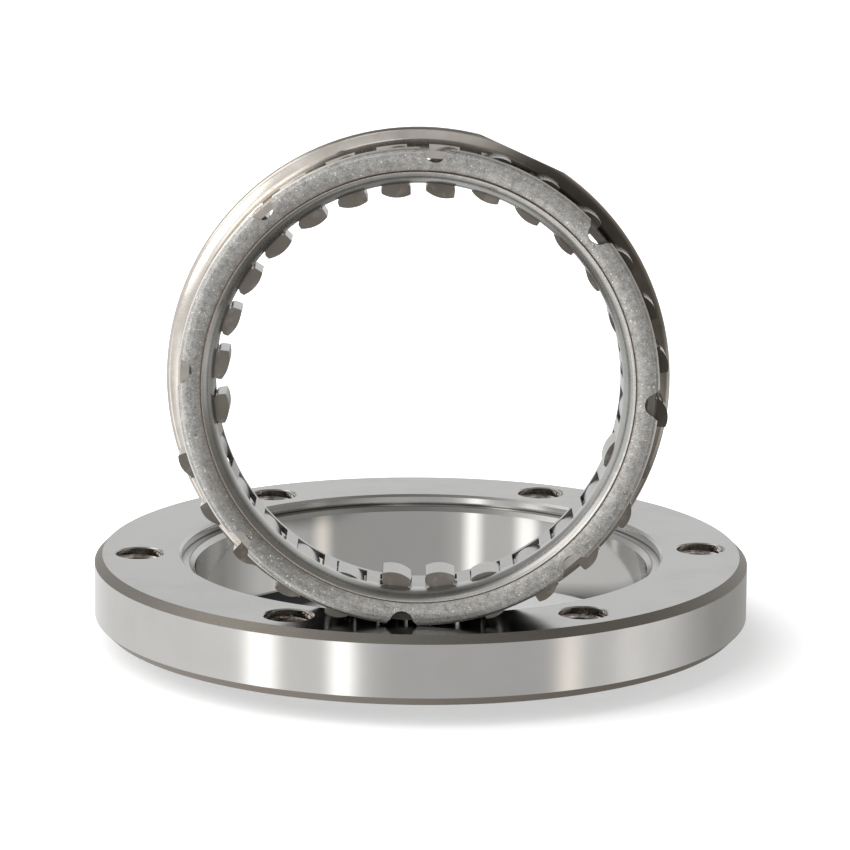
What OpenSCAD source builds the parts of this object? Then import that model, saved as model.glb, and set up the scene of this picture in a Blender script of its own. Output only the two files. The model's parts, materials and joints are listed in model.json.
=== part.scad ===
// Starter one-way clutch: a bolted outer race lying flat, and the row of sprags in its two cages,
// stood on edge on the near side of the race's top face. The origin is the centre of the lower end
// of the race's spigot, with Z along the race's own axis.

/* [Outer race] */
// Diameter of the bore that the sprags grip
bore_d = 76.4; // [70:0.2:92]
// Width of the face between the counterbore and the outside of the race
rim_w = 14.6; // [12:0.1:20]
// Height of the race's bolted body
race_h = 11.6; // [9:0.1:16]
// Height of the spigot below that body
spigot_h = 3.5; // [1:0.1:5]
// Wall of the spigot, outside the bore
spigot_wall = 2.8; // [1.5:0.1:4]
// Chamfer round the spigot's outside
spigot_chamfer = 0.4; // [0.1:0.1:0.8]
// Depth of the counterbore that takes the cage flange
counterbore_depth = 1.7; // [1.4:0.1:2.5]
// Chamfer round the mouth of the counterbore
mouth_chamfer = 0.4; // [0.1:0.1:0.8]
// Chamfer round the top of the outside
top_chamfer = 1.3; // [0.4:0.1:2]
// Chamfer round the bottom of the outside
bottom_chamfer = 1.5; // [0.4:0.1:2]
// Chamfer between the counterbore's floor and the bore
seat_chamfer = 0.8; // [0.2:0.1:1.2]
// Chamfer at the bottom of the bore
bore_chamfer = 0.5; // [0.2:0.1:1]

/* [Bolt holes] */
// Number of threaded holes through the race
bolt_count = 6; // [3:1:8]
// Thread size, which is the diameter of each hole
thread_d = 8; // [5:0.5:9]
// Distance from the counterbore's edge to the bolt circle
bolt_inset = 7; // [6:0.1:9]
// Countersink round each hole, measured on the radius
hole_chamfer = 0.2; // [0.1:0.05:0.6]
// Turn of the first hole from the X axis, in degrees
bolt_turn = 3.5; // [0:0.5:60]

/* [Sprags] */
// Number of sprags in the row
sprag_count = 28; // [20:1:30]
// Height of a sprag from its inner tip to its outer tip
sprag_h = 7.4; // [7.2:0.1:8]
// Width of a sprag at its inner end
sprag_w = 4.6; // [4:0.1:5]
// Width of a sprag at its outer end
sprag_head_w = 4.4; // [4:0.1:4.8]
// Length of a sprag along the axis of the row
sprag_l = 8.8; // [6.5:0.1:12]
// Radius of the outer cam face
crest_r = 3.7; // [3.2:0.1:5]
// How far the crest of that face lies to the side of the middle
crest_x = 0.9; // [0.4:0.1:1.2]
// Radius of the inner cam face
sole_r = 5; // [4:0.1:8]
// How far the lowest place of that face lies to the side of the middle
sole_x = 0.6; // [0:0.1:1]
// Height of the foot, below the waist
foot_h = 2; // [1.8:0.1:2.1]
// Height of the waist
waist_h = 3.4; // [3.3:0.1:3.5]
// Depth of the waist on each side, from the outer end's width
waist_depth = 0.3; // [0.2:0.05:0.5]
// How far the free sprags stand proud of the race's bore
sprag_proud = 1.6; // [0.8:0.1:1.7]
// How far the hanging sprags have dropped in from there
sprag_drop = 2.3; // [0:0.1:2.3]
// How far a sprag on the right would have dropped at the top
side_drop = 1.4; // [0:0.1:2]
// Number of the one low sprag on the right that has also dropped in
loose_sprag = 27; // [1:1:28]
// How far that one has dropped in
loose_drop = 0.8; // [0:0.1:2]
// Turn of the first sprag round the row, in degrees
sprag_turn = 6.9; // [0:0.1:12]

/* [Outer cage] */
// Radial clearance of the cage's front ring in the bore
front_clear = 0.1; // [0.05:0.05:0.3]
// Radial width of the front ring
front_ring_w = 3.65; // [3:0.05:4.2]
// Thickness of the front ring
front_ring_t = 1.2; // [0.8:0.1:1.6]
// Chamfer round the front ring's rim
rim_chamfer = 0.25; // [0.05:0.05:0.4]
// Thickness of the cage's windowed wall
outer_wall = 1.2; // [0.6:0.1:1.3]
// How far the wall lies inside the front ring's rim
wall_inset = 0.6; // [0.5:0.1:1]
// Width of the plain band between the front ring and the windows
front_band = 1; // [0.8:0.1:2]
// Width of the plain band between the windows and the flange
rear_band = 0.5; // [0.2:0.1:1]
// Thickness of the rear flange
flange_t = 1.2; // [0.8:0.1:1.3]
// How far the flange reaches beyond the bore
flange_reach = 2.1; // [1.4:0.1:2.6]
// Radial clearance of the flange in the counterbore
flange_clear = 0.1; // [0.05:0.05:0.5]
// Radius of the bend between the wall and the flange
bend_r = 1; // [0.4:0.1:1.4]
// Angle across the flat on the flange's rim
flat_span = 21.5; // [10:0.5:30]
// Place of that flat round the flange, in degrees
flat_turn = 65.7; // [0:0.1:90]
// Number of notches in the front ring
notch_count = 8; // [4:1:12]
// Depth of a notch from the rim
notch_depth = 2.3; // [2:0.05:2.5]
// Width of a notch at its floor
notch_w = 3.7; // [2:0.1:4.4]
// How much wider a notch is at the rim, on each side
notch_flare = 0.8; // [0.2:0.1:1.2]
// Turn of the first notch, in degrees
notch_turn = -3.7; // [-20:0.1:20]

/* [Inner cage] */
// Thickness of the inner cage's sheet
inner_wall = 0.8; // [0.5:0.1:0.9]
// How far a free sprag's inner tip stands back from the inner cage's inner face
inner_back = 0.05; // [0:0.05:0.4]
// Gap between the inner cage's lip and the front ring
seam_gap = 0.15; // [0.1:0.05:0.3]
// How far the inner cage's shoulder laps behind the front ring
lap = 1; // [0.5:0.1:1.5]
// Thickness of that shoulder
lap_t = 0.5; // [0.3:0.05:0.6]
// Width of the inner cage's plain band behind its windows
inner_band = 1.5; // [0.6:0.1:2]

/* [Ribbon spring] */
// Thickness of the spring's strip
spring_t = 0.3; // [0.2:0.05:0.4]
// Gap between the inner cage's wall and the strip
spring_gap = 1.6; // [1.5:0.05:1.7]
// How far each finger is bent up from the strip
finger_h = 0.55; // [0.3:0.05:0.6]
// Length of each finger along the axis
finger_l = 2.4; // [1:0.1:4]

/* [Clearances] */
// Gap on each side of a sprag in a cage window
window_gap = 0.24; // [0.2:0.02:0.4]
// Gap at each end of a sprag in a cage window
end_gap = 0.2; // [0.1:0.05:0.4]
// Gap on each side of a sprag's waist in the spring
spring_window_gap = 0.42; // [0.4:0.02:0.5]

/* [Standing place] */
// Gap between the near edge of the race's bore and the flange that dips into it
dip_gap = 0.9; // [0.8:0.1:3]
// Shift of the cage to the right
stand_shift = -0.6; // [-2:0.1:2]
// How far the cage leans back, in degrees
lean = 4; // [0:0.1:5]
// How far the cage is turned to the right, in degrees
swivel = 0.2; // [-4:0.1:4]
// Gap between the front ring's rim and the race's top face
rest_gap = 0.05; // [0.05:0.05:0.3]
// Gap between the race's top face and the sprags that it pushes in
press_gap = 0.2; // [0.15:0.05:0.5]
// Angle round the row at which the dropped sprags begin, in degrees
drop_from = 78; // [0:1:90]
// Angle round the row at which the dropped sprags end, in degrees
drop_to = 192; // [120:1:200]

/* [Hidden] */
fine = 96;
eps = 0.05;

bore_r = bore_d / 2;
flange_r = bore_r + flange_reach;
counterbore_r = flange_r + flange_clear;
race_r = counterbore_r + rim_w;
bolt_circle_r = counterbore_r + bolt_inset;
spigot_r = bore_r + spigot_wall;
top_z = spigot_h + race_h;
seat_z = top_z - counterbore_depth;

front_r = bore_r - front_clear;
wall_r = front_r - wall_inset;
window_l = sprag_l + 2 * end_gap;
window_front = front_ring_t + front_band;
window_rear = window_front + window_l;
flange_front = window_rear + rear_band;
cage_w = flange_front + flange_t;

tip_r = bore_r + sprag_proud;
inner_r = tip_r - sprag_h - inner_back;
lip_r = front_r - front_ring_w - seam_gap;
inner_l = window_rear + inner_band;
spring_r = inner_r + inner_wall + spring_gap;
pitch = 360 / sprag_count;

head_h = sprag_h - foot_h - waist_h;
corner_r = 0.5;
waist_r = 0.5;
waist_w = sprag_head_w - 2 * waist_depth;

axis_z = top_z + rest_gap + front_r * cos(lean) + front_ring_t * sin(lean);
stand_off = bore_r - dip_gap + flange_front * cos(lean) - flange_r * sin(lean);
sprag_rear = window_rear - end_gap;
sprag_mid = sprag_rear - sprag_l / 2;
press_r = (axis_z - sprag_rear * sin(lean) - top_z - press_gap) / cos(lean);

function sprag_angle(i) = sprag_turn + (i - 1) * pitch;
function hung(a) = a > drop_from && a < drop_to ? sprag_drop : max(0, side_drop * sin(a));
function dropped(i) = i == loose_sprag ? loose_drop : hung(sprag_angle(i));
function pushed_r(a) = sin(a) < -0.5 ? (press_r - crest_r - crest_x * cos(a)) / -sin(a) + crest_r : tip_r;
function sprag_tip(i) = min(tip_r - dropped(i), pushed_r(sprag_angle(i)));
function two_digits(i) = i < 10 ? str("0", i) : str(i);
function sprag_name(i) = str("sprag_", two_digits(i));

steel = [0.72, 0.71, 0.69];
blasted = [0.62, 0.61, 0.59];
sheet = [0.66, 0.63, 0.58];
spring_steel = [0.35, 0.33, 0.31];
sprag_steel = [0.55, 0.52, 0.49];

// Puts what is drawn round the cage's own axis in the place where the cage stands:
// there Z points out of the cage's front face, and the front face is at Z = 0.
module standing() {
    translate([stand_shift, -stand_off, axis_z])
        rotate([90 - lean, 0, swivel])
            children();
}

// A rectangle about the origin with round corners
module rounded_rect(w, h, r) {
    square([w - 2 * r, h], center = true);
    square([w, h - 2 * r], center = true);
    for (x = [-1, 1], y = [-1, 1])
        translate([x * (w / 2 - r), y * (h / 2 - r)])
            circle(r = r, $fn = 48);
}

// Section of the race, to be turned round its axis
module race_section() {
    difference() {
        translate([bore_r, 0])
            square([race_r - bore_r, top_z]);
        translate([spigot_r, -1])
            square([race_r - spigot_r + 1, spigot_h + 1]);
        translate([bore_r - 1, seat_z])
            square([counterbore_r - bore_r + 1, counterbore_depth + 1]);
        polygon([
            [race_r - top_chamfer, top_z],
            [race_r + 1, top_z + 1],
            [race_r, top_z - top_chamfer]
        ]);
        polygon([
            [race_r - bottom_chamfer, spigot_h],
            [race_r + 1, spigot_h - 1],
            [race_r, spigot_h + bottom_chamfer]
        ]);
        polygon([
            [spigot_r - spigot_chamfer, 0],
            [spigot_r + 1, -1],
            [spigot_r, spigot_chamfer]
        ]);
        polygon([
            [counterbore_r + mouth_chamfer, top_z],
            [counterbore_r - 1, top_z + 1],
            [counterbore_r, top_z - mouth_chamfer]
        ]);
        polygon([
            [bore_r + seat_chamfer, seat_z],
            [bore_r - 1, seat_z + 1],
            [bore_r, seat_z - seat_chamfer]
        ]);
        polygon([
            [bore_r + bore_chamfer, 0],
            [bore_r - 1, -1],
            [bore_r, bore_chamfer]
        ]);
    }
}

// One through hole with a countersink at both ends
module bolt_hole() {
    hole_r = thread_d / 2;
    translate([0, 0, spigot_h - 1])
        cylinder(r = hole_r, h = race_h + 2, $fn = fine);
    translate([0, 0, top_z - hole_chamfer])
        cylinder(r1 = hole_r, r2 = hole_r + 2 * hole_chamfer, h = 2 * hole_chamfer, $fn = fine);
    translate([0, 0, spigot_h - hole_chamfer])
        cylinder(r1 = hole_r + 2 * hole_chamfer, r2 = hole_r, h = 2 * hole_chamfer, $fn = fine);
}

module outer_race() {
    color(steel)
        difference() {
            rotate_extrude($fn = fine)
                race_section();
            for (i = [0:bolt_count - 1])
                rotate([0, 0, bolt_turn + i * 360 / bolt_count])
                    translate([bolt_circle_r, 0, 0])
                        bolt_hole();
        }
}

// Section of the outer cage: domed front ring, wall, bend and rear flange
module outer_cage_section() {
    dome = 6;
    ring_mid = front_r - front_ring_w / 2;
    rim_z = sqrt(dome * dome - front_ring_w * front_ring_w / 4) - dome;
    difference() {
        intersection() {
            translate([front_r - front_ring_w, -front_ring_t])
                square([front_ring_w, front_ring_t]);
            translate([ring_mid, -dome])
                circle(r = dome, $fn = 192);
        }
        polygon([
            [front_r - 2 * rim_chamfer, rim_z + rim_chamfer],
            [front_r + 1, rim_z + rim_chamfer],
            [front_r + 1, rim_z - rim_chamfer - 1],
            [front_r, rim_z - rim_chamfer]
        ]);
    }
    translate([wall_r - outer_wall, -flange_front - eps])
        square([outer_wall, flange_front + eps - front_ring_t / 2]);
    translate([wall_r - outer_wall, -cage_w])
        square([flange_r - flange_t / 2 - wall_r + outer_wall, flange_t]);
    translate([flange_r - flange_t / 2, -cage_w + flange_t / 2])
        circle(r = flange_t / 2, $fn = 48);
    difference() {
        translate([wall_r - eps, -flange_front - eps])
            square([bend_r + eps, bend_r + eps]);
        translate([wall_r + bend_r, -flange_front + bend_r])
            circle(r = bend_r, $fn = 64);
    }
}

// Radial slots for the sprags, through walls between two radii
module windows(w, r_from, r_to) {
    for (i = [1:sprag_count])
        rotate([0, 0, sprag_angle(i)])
            translate([r_from, -w / 2, -window_rear])
                cube([r_to - r_from, w, window_l]);
}

// One notch in the front ring, standing on the X axis
module notch() {
    floor_r = notch_w / 2;
    cut = front_ring_t + front_band * 0.55;
    translate([0, 0, -cut])
        linear_extrude(height = cut + 1)
            union() {
                translate([front_r - notch_depth + floor_r, 0])
                    circle(r = floor_r, $fn = 64);
                translate([front_r - notch_depth + floor_r, -floor_r])
                    square([notch_depth, notch_w]);
                polygon([
                    [front_r - notch_flare, -floor_r],
                    [front_r + 1, -floor_r - 1 - notch_flare],
                    [front_r + 1, floor_r + 1 + notch_flare],
                    [front_r - notch_flare, floor_r]
                ]);
            }
}

module outer_cage() {
    flat_r = flange_r * cos(flat_span / 2);
    color(blasted)
        standing()
            difference() {
                rotate_extrude($fn = fine)
                    outer_cage_section();
                windows(sprag_head_w + 2 * window_gap, wall_r - outer_wall - 1, flange_r);
                for (i = [0:notch_count - 1])
                    rotate([0, 0, notch_turn + i * 360 / notch_count])
                        notch();
                rotate([0, 0, flat_turn])
                    translate([flat_r, -flange_r, -cage_w - 1])
                        cube([flange_r, 2 * flange_r, flange_t + 1.5]);
            }
}

// Section of the inner cage: flared front lip, shoulder behind the front ring, and wall
module inner_cage_section() {
    flare = lip_r - inner_r;
    intersection() {
        translate([inner_r, -flare])
            square([flare, flare]);
        difference() {
            translate([lip_r, -flare])
                circle(r = flare, $fn = fine);
            translate([lip_r, -flare])
                circle(r = flare - inner_wall, $fn = fine);
        }
    }
    translate([lip_r - flare + inner_wall, -front_ring_t - seam_gap - lap_t])
        square([flare - inner_wall, front_ring_t + seam_gap + lap_t - inner_wall]);
    translate([lip_r - eps, -front_ring_t - seam_gap - lap_t])
        square([seam_gap + lap + eps, lap_t]);
    translate([inner_r, -inner_l])
        square([inner_wall, inner_l - flare]);
}

module inner_cage() {
    color(sheet)
        standing()
            difference() {
                rotate_extrude($fn = fine)
                    inner_cage_section();
                windows(sprag_w + 2 * window_gap, inner_r - 1, inner_r + inner_wall + 0.5);
            }
}

// The spring's strip, closed to a ring, with a window for each sprag's waist
module ribbon(slot_w) {
    difference() {
        translate([0, 0, -window_rear - flange_t / 2])
            cylinder(r = spring_r + spring_t, h = window_l + flange_t / 2 + end_gap, $fn = fine);
        translate([0, 0, -window_rear - flange_t])
            cylinder(r = spring_r, h = window_l + 2 * flange_t, $fn = fine);
        windows(slot_w, spring_r - 1, spring_r + spring_t + 1);
    }
}

module ribbon_spring() {
    slot_w = waist_w + 2 * spring_window_gap;
    color(spring_steel)
        standing() {
            ribbon(slot_w);
            for (i = [1:sprag_count])
                rotate([0, 0, sprag_angle(i)])
                    translate([spring_r + spring_t / 2, slot_w / 2 + spring_t, -sprag_mid - finger_l / 2])
                        cube([finger_h + spring_t / 2, spring_t, finger_l]);
        }
}

// Outline of one sprag, with its outer tip along +Y and its middle at the origin
module sprag_outline() {
    top = sprag_h / 2;
    difference() {
        union() {
            intersection() {
                translate([0, top - head_h / 2 - corner_r])
                    rounded_rect(sprag_head_w, head_h + 2 * corner_r, corner_r);
                translate([crest_x, top - crest_r])
                    circle(r = crest_r, $fn = 192);
            }
            translate([-waist_w / 2 - eps, foot_h / 2 - top])
                square([waist_w + 2 * eps, sprag_h - foot_h / 2 - head_h / 2]);
            intersection() {
                translate([0, foot_h / 2 - top])
                    rounded_rect(sprag_w, foot_h, corner_r);
                translate([sole_x, sole_r - top])
                    circle(r = sole_r, $fn = 192);
            }
        }
        for (side = [-1, 1])
            translate([side * (waist_w / 2 + 1), foot_h + waist_h / 2 - top])
                rounded_rect(2, waist_h, waist_r);
    }
}

module sprag(i) {
    a = sprag_angle(i);
    color(sprag_steel)
        standing()
            rotate([0, 0, a - 90])
                translate([0, sprag_tip(i) - sprag_h / 2, -sprag_rear])
                    linear_extrude(height = sprag_l)
                        sprag_outline();
}

outer_race();
outer_cage();
inner_cage();
ribbon_spring();
for (i = [1:sprag_count])
    sprag(i);
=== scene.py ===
"""A starter one-way clutch: a ground race ring lying flat, and its sprag cage standing on it."""

import json
import math
from collections import namedtuple

import bmesh
import bpy
from mathutils import Euler, Matrix, Vector


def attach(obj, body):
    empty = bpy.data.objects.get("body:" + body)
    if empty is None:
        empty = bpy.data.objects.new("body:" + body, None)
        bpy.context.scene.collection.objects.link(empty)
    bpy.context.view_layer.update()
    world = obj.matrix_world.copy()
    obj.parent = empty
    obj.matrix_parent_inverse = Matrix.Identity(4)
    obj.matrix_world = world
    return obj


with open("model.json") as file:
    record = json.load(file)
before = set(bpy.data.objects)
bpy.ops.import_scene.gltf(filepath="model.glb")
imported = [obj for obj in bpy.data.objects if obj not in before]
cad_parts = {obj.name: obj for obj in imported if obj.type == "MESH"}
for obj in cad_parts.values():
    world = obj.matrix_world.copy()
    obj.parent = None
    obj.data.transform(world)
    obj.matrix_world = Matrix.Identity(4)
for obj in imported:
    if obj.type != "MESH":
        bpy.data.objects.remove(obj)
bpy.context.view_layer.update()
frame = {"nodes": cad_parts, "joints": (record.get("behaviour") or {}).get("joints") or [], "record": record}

MM = 0.001

# The middle of a noise value's range, where nearly all of it lies
NOISE_LOW, NOISE_HIGH = 0.3, 0.7

# The race, in metres
SPIGOT_H = 3.5 * MM
TOP_Z = 15.1 * MM
SEAT_Z = 13.4 * MM
BORE_R = 38.2 * MM
COUNTERBORE_R = 40.4 * MM
RACE_R = 55.0 * MM

# The threads in the race's holes: where the ridge starts, its pitch, how far it stands in, and
# how far it ends from the faces. Its root is sunk into the wall, and it fades in and out
THREAD_TURN = math.radians(3.5)
THREAD_PITCH = 1.25 * MM
THREAD_DEPTH = 0.67 * MM
THREAD_END_GAP = 0.7 * MM
THREAD_SUNK = 0.02 * MM
ROOT_HALF = 0.44 * THREAD_PITCH
CREST_HALF = 0.11 * THREAD_PITCH
STEPS_A_TURN = 40
FADE_TURNS = 0.5

# The cages, in metres: radii round their own axis, and places along it, from their middle
# towards the front. Angles round it start on the right, as the camera sees it, and go up
SEAM_R = 34.37 * MM
RIM_R = 38.1 * MM
FLANGE_R = 40.3 * MM
FRONT_FACE_FROM, FRONT_FACE_FULL = 5.0 * MM, 5.4 * MM
LIP_FROM, LIP_FULL = 3.0 * MM, 5.0 * MM
BEND_FROM, BEND_FULL = 3.0 * MM, 3.5 * MM
FLANGE_FROM, FLANGE_FULL = -4.0 * MM, -4.8 * MM

# How deep each finish's lines or grain are, in metres
RACE_RELIEF = 0.012 * MM
BLAST_RELIEF = 0.05 * MM
DRAWN_RELIEF = 0.03 * MM
SPRAG_RELIEF = 0.008 * MM

# The race's colours. A pair goes from a finish's darker patches to its lighter ones
RACE_WALL = (0.55, 0.545, 0.53), (0.61, 0.60, 0.585)
RACE_WALL_STAIN = (0.50, 0.475, 0.44)
RACE_FACE = (0.34, 0.345, 0.34), (0.39, 0.385, 0.375)
RACE_BORE = (0.43, 0.425, 0.41), (0.49, 0.485, 0.47)
TOP_CHAMFER = (0.27, 0.25, 0.225)
LOW_CHAMFER = (0.27, 0.235, 0.205)
CHAMFER_SPECK = (0.42, 0.41, 0.39)
BORE_CHAMFER = (0.55, 0.55, 0.54)
# Painted shade for the counterbore's corners
CREASE_SHADE = (0.10, 0.095, 0.085)
THREAD = (0.42, 0.35, 0.30), (0.92, 0.90, 0.87)

# The cages' colours
BLAST = (0.225, 0.218, 0.203), (0.61, 0.60, 0.577)
BLAST_SHADE = (0.16, 0.15, 0.135)
BLAST_GLINT = (0.98, 0.98, 0.96)
# Painted highlights along the front ring's rim
BLAST_HIGHLIGHT_LINE = (0.85, 0.85, 0.83)
BLAST_EDGE_HIGHLIGHT = (0.92, 0.90, 0.87)
BLAST_RUST = (0.40, 0.29, 0.23)
SHEET_WARM = (0.52, 0.485, 0.44), (0.67, 0.63, 0.58)
# Painted shade for the bottom of the outer cage's wall
SHEET_PAINTED_SHADE = (0.05, 0.045, 0.04)
# Painted shade, brown, for the right of the flange and wall, darkest at the upper right
FLANGE_PAINTED_SHADE = (0.10, 0.087, 0.073), (0.20, 0.176, 0.15)
WALL_PAINTED_SHADE = (0.09, 0.08, 0.068)
DARKEST_PAINTED_SHADE = (0.03, 0.027, 0.024)
DRAWN_SHEET = (0.21, 0.205, 0.197), (0.25, 0.245, 0.238)
LIP = (0.40, 0.395, 0.375), (0.47, 0.465, 0.445)
# Painted highlight for the lip's lower right
LIP_HIGHLIGHT = (0.49, 0.485, 0.47)
LIP_EDGE = (0.42, 0.415, 0.40), (0.75, 0.74, 0.72)
LIP_RUST = (0.38, 0.28, 0.22)
SPRING = (0.16, 0.14, 0.12), (0.24, 0.22, 0.20)

# The sprags' colours
SPRAG_CAM = (0.24, 0.235, 0.225), (0.29, 0.285, 0.275)
SPRAG_HEAD = (0.78, 0.77, 0.755)
SPRAG_END = (0.165, 0.145, 0.125), (0.235, 0.215, 0.19)
SPRAG_SCUFF = (0.36, 0.335, 0.31)
# Painted shade for the sprags' outer parts on the right
SPRAG_PAINTED_SHADE = (0.045, 0.042, 0.035)

WHITE, BLACK = (1.0, 1.0, 1.0), (0.0, 0.0, 0.0)

# The camera, as fitted to the photograph's circles: metres, degrees, and millimetres of lens
CAMERA_PLACE = (0.0, -0.77709, 0.21279)
CAMERA_TURN = (77.2447, -0.4349, 0.0607)
CAMERA_LENS = 201.04
SENSOR = 36.0
CLIP_NEAR, CLIP_FAR = 0.05, 50.0

# The studio, in degrees: azimuth 0 is towards the camera, positive to the right.
# Its walls have a level at each azimuth
WALL_LEVELS = (
    (-180, 0.98), (-140, 0.9), (-81, 0.98), (-24, 0.86), (-10, 0.62), (46, 0.6),
    (64, 0.8), (92, 0.92), (112, 0.55), (125, 0.62), (145, 0.9), (172, 0.98),
)
CEILING_SIDE, CEILING_BACK = (0.16, 0.16, 0.155), (0.27, 0.27, 0.265)
CEILING_SIDE_FROM, CEILING_BACK_FROM, CEILING_SOFT = 56.0, 38.0, 14.0

# Its darker parts. A band is where it starts, where it ends and how soft its ends are
RIGHT_SIDE = (24.0, 122.0, 12.0)
RIGHT_SHADE, RIGHT_SHADE_BAND = (0.27, 0.255, 0.235), (-3.5, 62.0, 7.0)
LOW_RIGHT_SHADE, LOW_RIGHT_BAND = (0.2, 0.19, 0.175), (-58.0, -25.0, 6.0)
LOW_BACK_SHADE = (0.42, 0.415, 0.40)
HIGH_LEFT_SHADE = (0.2, 0.2, 0.2)
FILL_LEVEL = (0.45, 0.45, 0.45)

# Its windows: azimuth and half width, lowest and highest elevation, and the light they add
Window = namedtuple("Window", "azimuth half low high colour")
WINDOWS = (
    Window(-57.0, 5.5, -60.0, -1.0, (1.35, 1.33, 1.3)),
    Window(-27.0, 3.5, -60.0, -3.0, (1.6, 1.58, 1.55)),
    Window(11.0, 4.0, 4.0, 26.0, (0.8, 0.76, 0.72)),
    Window(53.0, 4.0, -21.0, -10.0, (0.95, 0.85, 0.74)),
    Window(78.0, 6.0, -21.0, -10.0, (0.25, 0.23, 0.22)),
)
WINDOW_SIDE_SOFT, WINDOW_END_SOFT = 3.0, 6.0

# Its lamps, with sizes in metres. Metal doesn't mirror the last one
Lamp = namedtuple("Lamp", "name azimuth elevation width height colour radiance mirrored")
LAMPS = (
    Lamp("left_box", -80, 42, 1.1, 0.8, (1.0, 0.96, 0.91), 1.0, True),
    Lamp("near_box", -38, 22, 0.42, 0.5, (1.0, 0.99, 0.97), 2.8, True),
    Lamp("front_box", -20, 62, 0.3, 0.2, (1.0, 0.99, 0.97), 1.2, True),
    Lamp("floor_box", -60, 50, 1.6, 1.6, (1.0, 1.0, 1.0), 3.2, False),
)
LAMP_DISTANCE = 1.5

# The floor: its paper, what the camera sees of it, and the shade inside the race's bore,
# which is a crescent, because the circle that leaves the paper bare is shifted
FLOOR_HALF = 6.0
FLOOR_DROP = 0.05 * MM
PAPER = (0.78, 0.78, 0.78), (0.80, 0.80, 0.80)
PAPER_SEEN = (0.50, 0.50, 0.50)
PAPER_INSIDE, PAPER_SHADED = (0.55, 0.55, 0.55), (0.02, 0.02, 0.02)
GLOW_NEAR, GLOW_FAR, GLOW_INSIDE = 0.5, 1.1, 0.01
GLOW_FROM_R, GLOW_FULL_R = 0.056, 0.095
CRESCENT_SHIFT = (-13 * MM, 2 * MM, 0.0)
CRESCENT_FROM_R, CRESCENT_FULL_R = 35 * MM, 41 * MM


class Tree:
    """A material's or the world's nodes, with short calls for the ones that the finishes use."""

    def __init__(self, owner):
        owner.use_nodes = True
        self.nodes = owner.node_tree.nodes
        self.links = owner.node_tree.links

    def put(self, socket, value):
        """Links a socket to an input, or writes a plain value there."""
        if isinstance(value, bpy.types.NodeSocket):
            self.links.new(value, socket)
        elif isinstance(value, tuple) and socket.type == "RGBA":
            socket.default_value = (*value, 1.0)
        else:
            socket.default_value = value

    def add(self, kind, inputs=None, **settings):
        """A new node with its settings and inputs."""
        node = self.nodes.new(kind)
        for key, value in settings.items():
            setattr(node, key, value)
        for key, value in (inputs or {}).items():
            self.put(node.inputs[key], value)
        return node

    def math(self, operation, *values):
        """The result of a Math node."""
        node = self.add("ShaderNodeMath", operation=operation)
        for socket, value in zip(node.inputs, values):
            self.put(socket, value)
        return node.outputs[0]

    def multiply(self, product, *factors):
        """The product of two or more numbers."""
        for factor in factors:
            product = self.math("MULTIPLY", product, factor)
        return product

    def vector(self, operation, inputs):
        """The result of a Vector Math node."""
        return self.add("ShaderNodeVectorMath", inputs, operation=operation).outputs[0]

    def combine(self, x, y, z):
        """A vector from three values."""
        return self.add("ShaderNodeCombineXYZ", {0: x, 1: y, 2: z}).outputs[0]

    def split(self, vector):
        """The three values of a vector."""
        return self.add("ShaderNodeSeparateXYZ", {0: vector}).outputs

    def ramp(self, value, low, high, low_to=0.0, high_to=1.0):
        """A value taken from one range to another and held at its ends."""
        inputs = {0: value, 1: low, 2: high, 3: low_to, 4: high_to}
        return self.add("ShaderNodeMapRange", inputs).outputs[0]

    def band(self, value, low, high, soft):
        """One between low and high, and nought outside, with soft ends."""
        rise = self.ramp(value, low - soft, low + soft)
        fall = self.ramp(value, high - soft, high + soft, 1.0, 0.0)
        return self.multiply(rise, fall)

    def sector(self, angle, low, high, soft):
        """One between two angles round an axis, given in degrees."""
        return self.band(angle, math.radians(low), math.radians(high), math.radians(soft))

    def mix(self, share, one, two):
        """A colour between two others."""
        node = self.add("ShaderNodeMix", data_type="RGBA")
        self.put(node.inputs[0], share)
        self.put(node.inputs[6], one)
        self.put(node.inputs[7], two)
        return node.outputs[2]

    def plus(self, one, two):
        """The sum of two colours."""
        node = self.add("ShaderNodeMix", data_type="RGBA", blend_type="ADD")
        self.put(node.inputs[0], 1.0)
        self.put(node.inputs[6], one)
        self.put(node.inputs[7], two)
        return node.outputs[2]

    def blend(self, share, one, two):
        """A number between two others."""
        node = self.add("ShaderNodeMix", data_type="FLOAT")
        self.put(node.inputs[0], share)
        self.put(node.inputs[2], one)
        self.put(node.inputs[3], two)
        return node.outputs[0]

    def noise(self, vector, scale, detail=2.0, roughness=0.5):
        """A noise value between nought and one."""
        inputs = {"Vector": vector, "Scale": scale, "Detail": detail, "Roughness": roughness}
        return self.add("ShaderNodeTexNoise", inputs).outputs[0]

    def mottle(self, noise, pair, low=NOISE_LOW, high=NOISE_HIGH):
        """A pair's two colours, laid out by a noise value."""
        return self.mix(self.ramp(noise, low, high), *pair)

    def spread(self, noise, low_to, high_to):
        """A number between two others, laid out by a noise value."""
        return self.ramp(noise, NOISE_LOW, NOISE_HIGH, low_to, high_to)

    def bump(self, height, distance, normal=None):
        """A normal bent by a height."""
        inputs = {"Height": height, "Distance": distance}
        if normal is not None:
            inputs["Normal"] = normal
        return self.add("ShaderNodeBump", inputs).outputs[0]


def steel(name):
    """A metal's material, its tree and its shader."""
    material = bpy.data.materials.new(name)
    tree = Tree(material)
    shader = tree.nodes["Principled BSDF"]
    shader.inputs["Metallic"].default_value = 1.0
    return material, tree, shader


def axis_turn(axis):
    """The turn that takes Z to the cage's axis, with the cage's own X level."""
    z = Vector(axis).normalized()
    x = Vector((-z.y, z.x, 0.0)).normalized()
    y = z.cross(x)
    return Matrix((x, y, z)).transposed()


shift = next(j for j in frame["joints"] if j["name"] == "inner_cage_shift")
CAGE_CENTRE = Vector(shift["pos_m"])
CAGE_TURN = axis_turn(shift["axis"]).to_euler()


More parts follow.
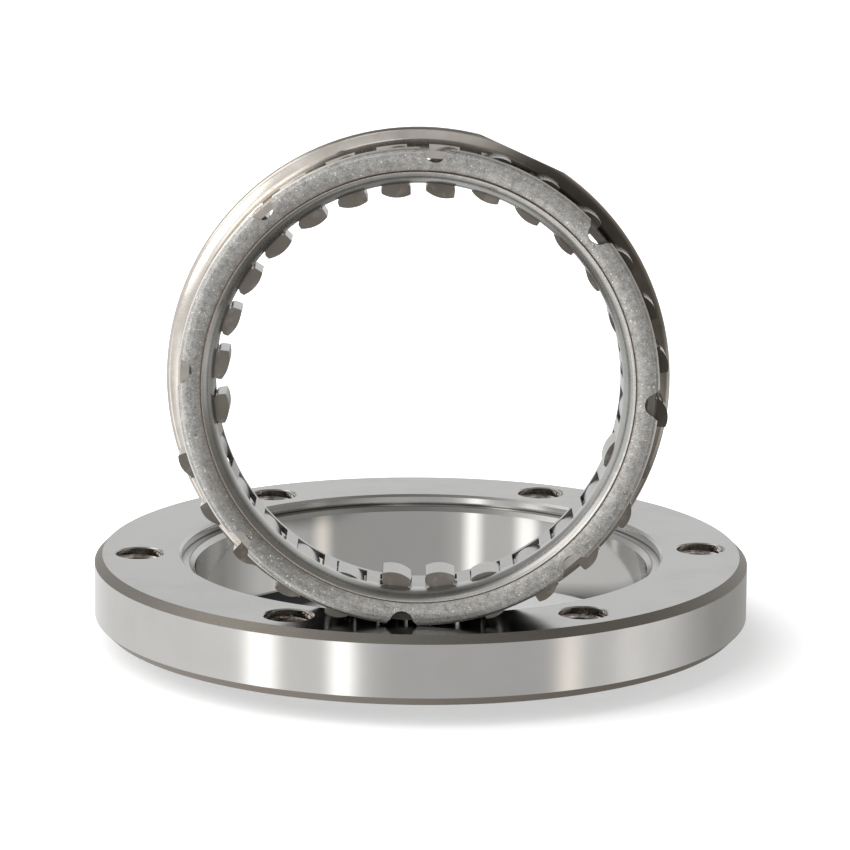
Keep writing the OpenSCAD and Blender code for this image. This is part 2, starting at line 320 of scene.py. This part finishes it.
def own_space(tree):
    """Place on the piece at rest, in metres."""
    return tree.add("ShaderNodeTexCoord").outputs["Object"]


def own_normal(tree):
    """Which way a surface faces on the piece at rest."""
    return tree.add("ShaderNodeTexCoord").outputs["Normal"]


def round_space(tree, place):
    """Radius, angle and height of a place round the Z axis."""
    x, y, z = tree.split(place)
    squares = tree.math("ADD", tree.multiply(x, x), tree.multiply(y, y))
    return tree.math("SQRT", squares), tree.math("ARCTAN2", y, x), z


def cage_space(tree):
    """Place in the cage's own frame, where Z points out of its front face from its middle."""
    inputs = {"Location": CAGE_CENTRE, "Rotation": CAGE_TURN}
    node = tree.add("ShaderNodeMapping", inputs, vector_type="TEXTURE")
    tree.put(node.inputs["Vector"], own_space(tree))
    return node.outputs[0]


def cage_facing(tree):
    """How far a surface faces along the cage's axis, from minus one to one."""
    turn = tree.add("ShaderNodeMapping", {"Rotation": CAGE_TURN}, vector_type="TEXTURE")
    tree.put(turn.inputs["Vector"], own_normal(tree))
    return tree.split(turn.outputs[0])[2]


def leaning(tree, place, amount):
    """A surface's own normal, leant outwards from the cage's axis, as on a bell mouth."""
    x, y, _ = tree.split(place)
    outward = tree.vector("NORMALIZE", {0: tree.combine(x, y, 0.0)})
    turn = tree.add("ShaderNodeMapping", {"Rotation": CAGE_TURN}, vector_type="VECTOR")
    tree.put(turn.inputs["Vector"], outward)
    part = tree.vector("SCALE", {0: turn.outputs[0], "Scale": amount})
    own = tree.add("ShaderNodeNewGeometry").outputs["Normal"]
    return tree.vector("NORMALIZE", {0: tree.vector("ADD", {0: own, 1: part})})


def turned_lines(tree, radius, angle, z, fineness):
    """A place stretched round the axis, so that noise on it runs in turned lines."""
    return tree.combine(tree.multiply(radius, fineness), angle, tree.multiply(z, fineness))


def ground_steel():
    """The race: ground faces and a honed bore, with duller turned chamfers."""
    material, tree, shader = steel("ground_steel")
    place = own_space(tree)
    radius, angle, z = round_space(tree, place)
    facing = tree.math("ABSOLUTE", tree.split(own_normal(tree))[2])

    # Which surface it is, from the way it faces and where it lies
    slant = tree.band(facing, 0.3, 0.9, 0.03)
    flat = tree.ramp(facing, 0.9, 0.95)
    bore = tree.ramp(radius, BORE_R + 0.2 * MM, BORE_R + 0.4 * MM, 1.0, 0.0)
    outside = tree.ramp(radius, RACE_R - 4 * MM, RACE_R - 3 * MM)
    low = tree.ramp(z, TOP_Z - 6 * MM, TOP_Z - 5 * MM, 1.0, 0.0)

    # Painted shade: dark lines in the counterbore's corners and at the bore chamfer's edge
    near_seat = tree.ramp(z, SEAT_Z - 0.4 * MM, SEAT_Z - 0.2 * MM)
    on_seat = tree.ramp(z, SEAT_Z + 0.1 * MM, SEAT_Z + 0.25 * MM, 1.0, 0.0)
    corner_from, corner_to = COUNTERBORE_R - 0.22 * MM, COUNTERBORE_R + 0.2 * MM
    corner = tree.band(radius, corner_from, corner_to, 0.04 * MM)
    ledge = tree.band(radius, BORE_R + 0.72 * MM, BORE_R + 0.95 * MM, 0.04 * MM)
    dark = tree.math("MAXIMUM", tree.multiply(corner, on_seat), ledge)
    crease_shade = tree.multiply(near_seat, dark)

    # Colour
    cloud = tree.noise(place, 38.0, detail=4.0, roughness=0.55)
    darker_tone = tree.ramp(tree.noise(place, 90.0, detail=5.0, roughness=0.65), 0.42, 0.62)
    speck = tree.ramp(tree.noise(place, 3400.0, detail=2.0, roughness=0.6), 0.60, 0.74)
    wall = tree.mix(cloud, *RACE_WALL)
    wall = tree.mix(tree.multiply(darker_tone, 0.22), wall, RACE_WALL_STAIN)
    wall = tree.mix(bore, wall, tree.mix(cloud, *RACE_BORE))
    colour = tree.mix(flat, wall, tree.mix(cloud, *RACE_FACE))
    chamfer = tree.mix(low, TOP_CHAMFER, LOW_CHAMFER)
    chamfer = tree.mix(tree.multiply(speck, 0.5), chamfer, CHAMFER_SPECK)
    chamfer = tree.mix(outside, BORE_CHAMFER, chamfer)
    colour = tree.mix(slant, colour, chamfer)
    # Painted shade in the counterbore's corners
    colour = tree.mix(tree.multiply(crease_shade, 0.8), colour, CREASE_SHADE)
    tree.put(shader.inputs["Base Color"], colour)

    # Roughness
    rough = tree.spread(cloud, 0.13, 0.19)
    rough = tree.blend(bore, rough, 0.1)
    rough = tree.blend(flat, rough, tree.ramp(darker_tone, 0.0, 1.0, 0.17, 0.24))
    rough = tree.blend(slant, rough, tree.blend(outside, 0.28, 0.5))
    tree.put(shader.inputs["Roughness"], rough)

    # Turned and ground lines
    lines = tree.noise(turned_lines(tree, radius, angle, z, 900.0), 1.0, detail=3.0)
    wave = tree.multiply(lines, tree.blend(slant, 0.15, 1.0))
    tree.put(shader.inputs["Normal"], tree.bump(wave, RACE_RELIEF))
    return material


def front_ring_colour(tree, radius, angle, shade, glint):
    """The blasted front ring: grain, glints, painted shade and rim highlights, and a rusty seam."""
    colour = tree.mottle(shade, BLAST, 0.38, 0.62)
    # Painted shade at the lower left of the front ring
    lower = tree.sector(tree.math("ABSOLUTE", angle), 116, 158, 12)
    lower_left_shade = tree.multiply(lower, tree.ramp(angle, -0.2, 0.2, 0.4, 0.0))
    colour = tree.mix(lower_left_shade, colour, BLAST_SHADE)
    colour = tree.mix(glint, colour, BLAST_GLINT)
    # Painted highlights: a thin light ring just inside the rim, and a bright outer edge
    line = tree.band(radius, RIM_R - 0.85 * MM, RIM_R - 0.65 * MM, 0.05 * MM)
    colour = tree.mix(tree.multiply(line, 0.25), colour, BLAST_HIGHLIGHT_LINE)
    edge = tree.ramp(radius, RIM_R - 0.3 * MM, RIM_R - 0.2 * MM, 0.0, 0.8)
    colour = tree.mix(edge, colour, BLAST_EDGE_HIGHLIGHT)
    seam = tree.band(radius, SEAM_R, SEAM_R + 0.16 * MM, 0.04 * MM)
    return tree.mix(tree.multiply(seam, 0.75), colour, BLAST_RUST)


def outer_sheet_colour(tree, radius, angle, z, streak, painted_shade):
    """The outer cage's wall and flange: warm, with painted shade below and on the right."""
    colour = tree.mottle(streak, SHEET_WARM)
    # Painted shade at the bottom of the wall
    colour = tree.mix(tree.multiply(painted_shade, 0.92), colour, SHEET_PAINTED_SHADE)
    # Painted shade on the right, brown, fading at the flange's edge and darkest at the upper right
    brown = tree.sector(angle, -28, 70, 9)
    to_edge = tree.ramp(radius, FLANGE_R - 0.7 * MM, FLANGE_R - 0.1 * MM, 0.9, 0.1)
    darker_tone = tree.mottle(streak, FLANGE_PAINTED_SHADE, 0.35, 0.65)
    darker_tone = tree.mix(tree.ramp(z, -4.2 * MM, -3.8 * MM), darker_tone, WALL_PAINTED_SHADE)
    darkest = tree.sector(angle, 33, 66, 8)
    darker_tone = tree.mix(tree.multiply(darkest, 0.75), darker_tone, DARKEST_PAINTED_SHADE)
    return tree.mix(tree.multiply(brown, to_edge), colour, darker_tone)


def blasted_steel():
    """The outer cage: a blasted front ring, and a smoother wall and flange with a warm tint."""
    material, tree, shader = steel("blasted_steel")
    place = cage_space(tree)
    radius, angle, z = round_space(tree, place)
    facing = cage_facing(tree)
    forward = tree.ramp(facing, 0.5, 0.7)
    front = tree.multiply(tree.ramp(z, FRONT_FACE_FROM, FRONT_FACE_FULL), forward)
    # Where shade is painted at the bottom of the wall, which is rougher there too
    painted_shade = tree.sector(angle, -125, -55, 8)

    # Grain of the blasting, and the patches of the sheet
    grain = tree.noise(place, 4200.0, detail=3.0, roughness=0.7)
    clump = tree.noise(place, 1000.0, detail=4.0, roughness=0.7)
    rings = tree.noise(turned_lines(tree, radius, angle, 0.0, 1800.0), 1.0)
    shade = tree.math("ADD", tree.multiply(grain, 0.5), tree.multiply(clump, 0.4))
    shade = tree.math("ADD", shade, tree.multiply(rings, 0.15))
    glint = tree.ramp(tree.noise(place, 2900.0, detail=1.0), 0.68, 0.73, 0.0, 0.85)
    streak = tree.noise(place, 160.0, detail=3.0, roughness=0.6)

    ring = front_ring_colour(tree, radius, angle, shade, glint)
    sheet = outer_sheet_colour(tree, radius, angle, z, streak, painted_shade)
    tree.put(shader.inputs["Base Color"], tree.mix(front, sheet, ring))

    smooth = tree.blend(painted_shade, tree.spread(streak, 0.17, 0.25), 0.7)
    rough = tree.blend(front, smooth, tree.blend(glint, 0.42, 0.3))
    tree.put(shader.inputs["Roughness"], rough)

    # The flange leans out like a bell's mouth, and the front ring is slightly domed
    rearmost = tree.ramp(z, FLANGE_FROM, FLANGE_FULL)
    bell = tree.multiply(rearmost, tree.ramp(facing, 0.5, 0.8))
    bell = tree.multiply(bell, tree.ramp(radius, RIM_R, RIM_R + 2 * MM, 0.55, 0.3))
    dome = tree.multiply(front, tree.ramp(radius, SEAM_R, RIM_R, -0.16, 0.14))
    normal = leaning(tree, place, tree.math("ADD", bell, dome))
    rise = tree.multiply(shade, tree.blend(front, 0.08, 1.0))
    tree.put(shader.inputs["Normal"], tree.bump(rise, BLAST_RELIEF, normal=normal))
    return material


def drawn_steel():
    """The inner cage: drawn sheet with a polished lip, and a highlight painted on its lower right."""
    material, tree, shader = steel("drawn_steel")
    place = cage_space(tree)
    radius, angle, z = round_space(tree, place)
    lip = tree.ramp(z, LIP_FROM, LIP_FULL)
    edge = tree.ramp(radius, SEAM_R - 0.35 * MM, SEAM_R - 0.15 * MM)
    seam = tree.ramp(radius, SEAM_R - 0.14 * MM, SEAM_R - 0.1 * MM)
    # Painted highlight: the lip lighter at its lower right
    painted_highlight = tree.sector(angle, -58, -8, 14)

    drawn = tree.noise(turned_lines(tree, radius, angle, z, 7000.0), 1.0, detail=3.0)
    cloud = tree.noise(place, 300.0, detail=3.0, roughness=0.6)
    grain = tree.noise(place, 4800.0, detail=2.0, roughness=0.6)

    polished = tree.mix(painted_highlight, tree.mottle(cloud, LIP), LIP_HIGHLIGHT)
    colour = tree.mix(lip, tree.mottle(cloud, DRAWN_SHEET), polished)
    colour = tree.mix(edge, colour, tree.mottle(grain, LIP_EDGE, 0.35, 0.65))
    colour = tree.mix(tree.multiply(seam, 0.7), colour, LIP_RUST)
    tree.put(shader.inputs["Base Color"], colour)

    rough = tree.blend(lip, tree.spread(drawn, 0.18, 0.26), 0.27)
    tree.put(shader.inputs["Roughness"], tree.blend(edge, rough, 0.4))

    # The lip reads as curved from the seam on
    curl = tree.ramp(radius, SEAM_R - 0.5 * MM, SEAM_R - 0.02 * MM, -0.47, 0.0)
    curl = tree.multiply(curl, tree.ramp(z, BEND_FROM, BEND_FULL))
    normal = leaning(tree, place, curl)
    rise = tree.multiply(grain, tree.blend(edge, 0.02, 0.6))
    tree.put(shader.inputs["Normal"], tree.bump(rise, DRAWN_RELIEF, normal=normal))
    return material


def spring_steel():
    """The ribbon spring: dark tempered strip."""
    material, tree, shader = steel("spring_steel")
    cloud = tree.noise(cage_space(tree), 250.0, detail=3.0)
    tree.put(shader.inputs["Base Color"], tree.mottle(cloud, SPRING))
    tree.put(shader.inputs["Roughness"], tree.spread(cloud, 0.35, 0.5))
    return material


def sprag_steel():
    """The sprags: brown-grey ground ends with painted shade, and cams with brighter heads."""
    material, tree, shader = steel("sprag_steel")
    place = cage_space(tree)
    radius, angle, _ = round_space(tree, place)
    end = tree.ramp(tree.math("ABSOLUTE", cage_facing(tree)), 0.8, 0.95)
    head = tree.ramp(radius, RIM_R - 0.9 * MM, RIM_R - 0.6 * MM)
    outer = tree.ramp(radius, RIM_R - 0.6 * MM, RIM_R - 0.2 * MM, 0.0, 0.8)
    # Painted shade on the outer parts of the sprags' ends, on the right
    painted_shade = tree.multiply(tree.sector(angle, -15, 85, 10), outer)

    grain = tree.noise(place, 1500.0, detail=3.0, roughness=0.65)
    scuff = tree.ramp(tree.noise(place, 420.0, detail=3.0, roughness=0.6), 0.52, 0.66)
    each = tree.noise(place, 120.0, detail=1.0)

    cam = tree.mix(head, tree.mottle(grain, SPRAG_CAM), SPRAG_HEAD)
    face = tree.mottle(each, SPRAG_END)
    face = tree.mix(tree.multiply(scuff, 0.4), face, SPRAG_SCUFF)
    face = tree.mix(painted_shade, face, SPRAG_PAINTED_SHADE)
    tree.put(shader.inputs["Base Color"], tree.mix(end, cam, face))
    tree.put(shader.inputs["Roughness"], tree.blend(end, 0.22, 0.38))
    tree.put(shader.inputs["Normal"], tree.bump(grain, SPRAG_RELIEF))
    return material


def thread_steel():
    """The threads: oiled cut steel, dark and shiny."""
    material, tree, shader = steel("thread_steel")
    cloud = tree.noise(own_space(tree), 900.0, detail=3.0, roughness=0.6)
    tree.put(shader.inputs["Base Color"], tree.mottle(cloud, THREAD, 0.35, 0.65))
    tree.put(shader.inputs["Roughness"], tree.spread(cloud, 0.12, 0.2))
    return material


def paint(node, material):
    """Gives a CAD node's mesh its material."""
    mesh = frame["nodes"][node].data
    if not mesh.materials:
        mesh.materials.append(material)
    for i in range(len(mesh.materials)):
        mesh.materials[i] = material


def thread_ridge(mesh, centre, hole_r, low, high):
    """Adds one helical ridge, which stands in from the wall of a hole and fades at its ends."""
    turns = (high - low) / THREAD_PITCH
    count = int(turns * STEPS_A_TURN)
    root_r = hole_r + THREAD_SUNK
    rings = []
    for i in range(count + 1):
        share = i / count
        fade = min(1.0, share * turns / FADE_TURNS, (1.0 - share) * turns / FADE_TURNS)
        angle = 2 * math.pi * turns * share
        cos, sin = math.cos(angle), math.sin(angle)
        z = low + (high - low) * share
        crest_r = hole_r - THREAD_DEPTH * fade
        points = (
            (root_r, -ROOT_HALF),
            (crest_r, -CREST_HALF),
            (crest_r, CREST_HALF),
            (root_r, ROOT_HALF),
        )
        rings.append([
            mesh.verts.new((centre[0] + r * cos, centre[1] + r * sin, z + dz)) for r, dz in points
        ])
    for one, two in zip(rings, rings[1:]):
        for k, n in ((0, 1), (1, 2), (2, 3), (3, 0)):
            mesh.faces.new((one[k], one[n], two[n], two[k]))
    mesh.faces.new(list(reversed(rings[0])))
    mesh.faces.new(rings[-1])


def hole_threads(material):
    """The threads in the race's six holes."""
    bolts = next(m for m in frame["record"]["mounts"] if m["name"] == "race_bolts")["dims"]
    circle_r = bolts["pcd_mm"] / 2 * MM
    hole_r = bolts["hole_r_mm"] * MM
    low, high = SPIGOT_H + THREAD_END_GAP, TOP_Z - THREAD_END_GAP
    mesh = bmesh.new()
    for i in range(bolts["count"]):
        angle = THREAD_TURN + i * 2 * math.pi / bolts["count"]
        centre = (circle_r * math.cos(angle), circle_r * math.sin(angle))
        thread_ridge(mesh, centre, hole_r, low, high)
    bmesh.ops.recalc_face_normals(mesh, faces=mesh.faces)
    data = bpy.data.meshes.new("hole_threads")
    mesh.to_mesh(data)
    mesh.free()
    data.materials.append(material)
    piece = bpy.data.objects.new("hole_threads", data)
    bpy.context.scene.collection.objects.link(piece)
    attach(piece, "race")


def room_walls(tree, azimuth):
    """The studio's pale walls, as a level round the object."""
    walls = tree.add("ShaderNodeValToRGB", {0: tree.ramp(azimuth, -180.0, 180.0)})
    ramp = walls.color_ramp
    while len(ramp.elements) < len(WALL_LEVELS):
        ramp.elements.new(0.5)
    for element, (place, level) in zip(ramp.elements, WALL_LEVELS):
        element.position = (place + 180) / 360
        element.color = (level, level, level, 1.0)
    return walls.outputs[0]


def room_shades(tree, room, azimuth, elevation):
    """The room with its dark ceiling and its darker right side, low back and high left."""
    back = tree.ramp(tree.math("ABSOLUTE", azimuth), 140.0, 160.0)
    start = tree.blend(back, CEILING_SIDE_FROM, CEILING_BACK_FROM)
    above = tree.ramp(tree.math("SUBTRACT", elevation, start), 0.0, CEILING_SOFT)
    room = tree.mix(above, room, tree.mix(back, CEILING_SIDE, CEILING_BACK))

    right = tree.band(azimuth, *RIGHT_SIDE)
    for colour, heights in ((RIGHT_SHADE, RIGHT_SHADE_BAND), (LOW_RIGHT_SHADE, LOW_RIGHT_BAND)):
        room = tree.mix(tree.multiply(right, tree.band(elevation, *heights)), room, colour)

    right_back = tree.ramp(azimuth, 110.0, 124.0)
    low_back = tree.multiply(right_back, tree.ramp(elevation, -9.0, -4.0, 1.0, 0.0))
    room = tree.mix(low_back, room, LOW_BACK_SHADE)

    left_back = tree.ramp(azimuth, -125.0, -110.0, 1.0, 0.0)
    high_left = tree.multiply(left_back, tree.ramp(elevation, 14.0, 22.0))
    high_left = tree.multiply(high_left, tree.ramp(azimuth, -165.0, -155.0, 0.0, 0.7))
    return tree.mix(high_left, room, HIGH_LEFT_SHADE)


def window_light(tree, azimuth, elevation, window):
    """A window's light, seen between two heights, as a colour."""
    left, right = window.azimuth - window.half, window.azimuth + window.half
    across = tree.band(azimuth, left, right, WINDOW_SIDE_SOFT)
    along = tree.band(elevation, window.low, window.high, WINDOW_END_SOFT)
    return tree.mix(tree.multiply(across, along), BLACK, window.colour)


def mirrored_ray(tree, path):
    """One for the rays that a surface mirrors or lets through."""
    return tree.math("MAXIMUM", path["Is Glossy Ray"], path["Is Transmission Ray"])


def studio_world():
    """White to look at. Reflections see pale walls, windows and a dark ceiling."""
    world = bpy.data.worlds.new("studio")
    bpy.context.scene.world = world
    tree = Tree(world)
    x, y, z = tree.split(tree.add("ShaderNodeTexCoord").outputs["Generated"])
    azimuth = tree.math("DEGREES", tree.math("ARCTAN2", x, tree.multiply(y, -1.0)))
    elevation = tree.math("DEGREES", tree.math("ARCSINE", z))
    room = room_shades(tree, room_walls(tree, azimuth), azimuth, elevation)
    for window in WINDOWS:
        room = tree.plus(room, window_light(tree, azimuth, elevation, window))
    path = tree.add("ShaderNodeLightPath").outputs
    seen = tree.mix(mirrored_ray(tree, path), FILL_LEVEL, room)
    seen = tree.mix(path["Is Camera Ray"], seen, WHITE)
    tree.put(tree.nodes["Background"].inputs["Color"], seen)


def floor_paper():
    """Pale paper that shows white and keeps the object's shadow. Reflections pass through it."""
    material = bpy.data.materials.new("floor_paper")
    tree = Tree(material)
    tree.nodes.remove(tree.nodes["Principled BSDF"])
    path = tree.add("ShaderNodeLightPath").outputs
    place = own_space(tree)
    radius = round_space(tree, place)[0]
    inside = tree.ramp(radius, BORE_R + 1 * MM, BORE_R + 2 * MM, 1.0, 0.0)

    # The paper that sends light back up to the object
    pale = tree.mix(tree.noise(place, 3.0), *PAPER)
    paper = tree.add("ShaderNodeBsdfDiffuse", {"Color": pale})

    # What the camera sees: shaded paper inside the bore, and white all round the race
    moved = tree.vector("ADD", {0: place, 1: CRESCENT_SHIFT})
    shaded = tree.ramp(round_space(tree, moved)[0], CRESCENT_FROM_R, CRESCENT_FULL_R)
    under = tree.mix(shaded, PAPER_INSIDE, PAPER_SHADED)
    dim = tree.add("ShaderNodeBsdfDiffuse", {"Color": tree.mix(inside, PAPER_SEEN, under)})
    outwards = tree.ramp(radius, GLOW_FROM_R, GLOW_FULL_R, GLOW_NEAR, GLOW_FAR)
    strength = tree.blend(inside, outwards, GLOW_INSIDE)
    glow = tree.add("ShaderNodeEmission", {"Color": WHITE, "Strength": strength})
    lit = tree.add("ShaderNodeAddShader", {0: dim.outputs[0], 1: glow.outputs[0]})
    by_camera = {0: path["Is Camera Ray"], 1: paper.outputs[0], 2: lit.outputs[0]}
    seen = tree.add("ShaderNodeMixShader", by_camera)

    # What mirrored rays find: nothing, but painted shade towards both ends of the bore
    sideways = tree.math("ABSOLUTE", tree.math("ADD", tree.split(place)[0], 4 * MM))
    mirrored_shade = tree.multiply(inside, tree.ramp(sideways, 20 * MM, 32 * MM), 0.8)
    clear = tree.add("ShaderNodeBsdfTransparent", {"Color": tree.mix(mirrored_shade, WHITE, BLACK)})
    by_mirror = {0: mirrored_ray(tree, path), 1: seen.outputs[0], 2: clear.outputs[0]}
    shown = tree.add("ShaderNodeMixShader", by_mirror)
    tree.put(tree.nodes["Material Output"].inputs["Surface"], shown.outputs[0])
    return material


def floor():
    """A wide floor under the object."""
    half = FLOOR_HALF
    corners = [(-half, -half, 0), (half, -half, 0), (half, half, 0), (-half, half, 0)]
    mesh = bpy.data.meshes.new("floor")
    mesh.from_pydata(corners, [], [(0, 1, 2, 3)])
    mesh.materials.append(floor_paper())
    made = bpy.data.objects.new("floor", mesh)
    bpy.context.scene.collection.objects.link(made)
    made.location = (0, 0, -FLOOR_DROP)


def around(azimuth, elevation, distance):
    """A place round the object: azimuth 0 is towards the camera, positive to the right."""
    a, e = math.radians(azimuth), math.radians(elevation)
    level = math.cos(e)
    return Vector((math.sin(a) * level, -math.cos(a) * level, math.sin(e))) * distance


def softbox(lamp):
    """A rectangular lamp that points at the object."""
    data = bpy.data.lights.new(lamp.name, "AREA")
    data.shape = "RECTANGLE"
    data.size, data.size_y = lamp.width, lamp.height
    data.color = lamp.colour
    data.energy = lamp.radiance * math.pi * lamp.width * lamp.height
    made = bpy.data.objects.new(lamp.name, data)
    bpy.context.scene.collection.objects.link(made)
    made.location = around(lamp.azimuth, lamp.elevation, LAMP_DISTANCE)
    made.rotation_euler = (-made.location).to_track_quat("-Z", "Y").to_euler()
    made.visible_glossy = lamp.mirrored


def camera():
    """The camera at the photograph's place."""
    data = bpy.data.cameras.new("camera")
    data.lens, data.sensor_width = CAMERA_LENS, SENSOR
    data.clip_start, data.clip_end = CLIP_NEAR, CLIP_FAR
    made = bpy.data.objects.new("camera", data)
    bpy.context.scene.collection.objects.link(made)
    made.location = CAMERA_PLACE
    made.rotation_euler = Euler([math.radians(a) for a in CAMERA_TURN])
    bpy.context.scene.camera = made


bpy.context.scene.view_settings.view_transform = "Standard"
camera()
studio_world()
floor()
for each_lamp in LAMPS:
    softbox(each_lamp)

paint("outer_race", ground_steel())
paint("outer_cage", blasted_steel())
paint("inner_cage", drawn_steel())
paint("ribbon_spring", spring_steel())
sprag_finish = sprag_steel()
for name in frame["nodes"]:
    if name.startswith("sprag_"):
        paint(name, sprag_finish)
hole_threads(thread_steel())
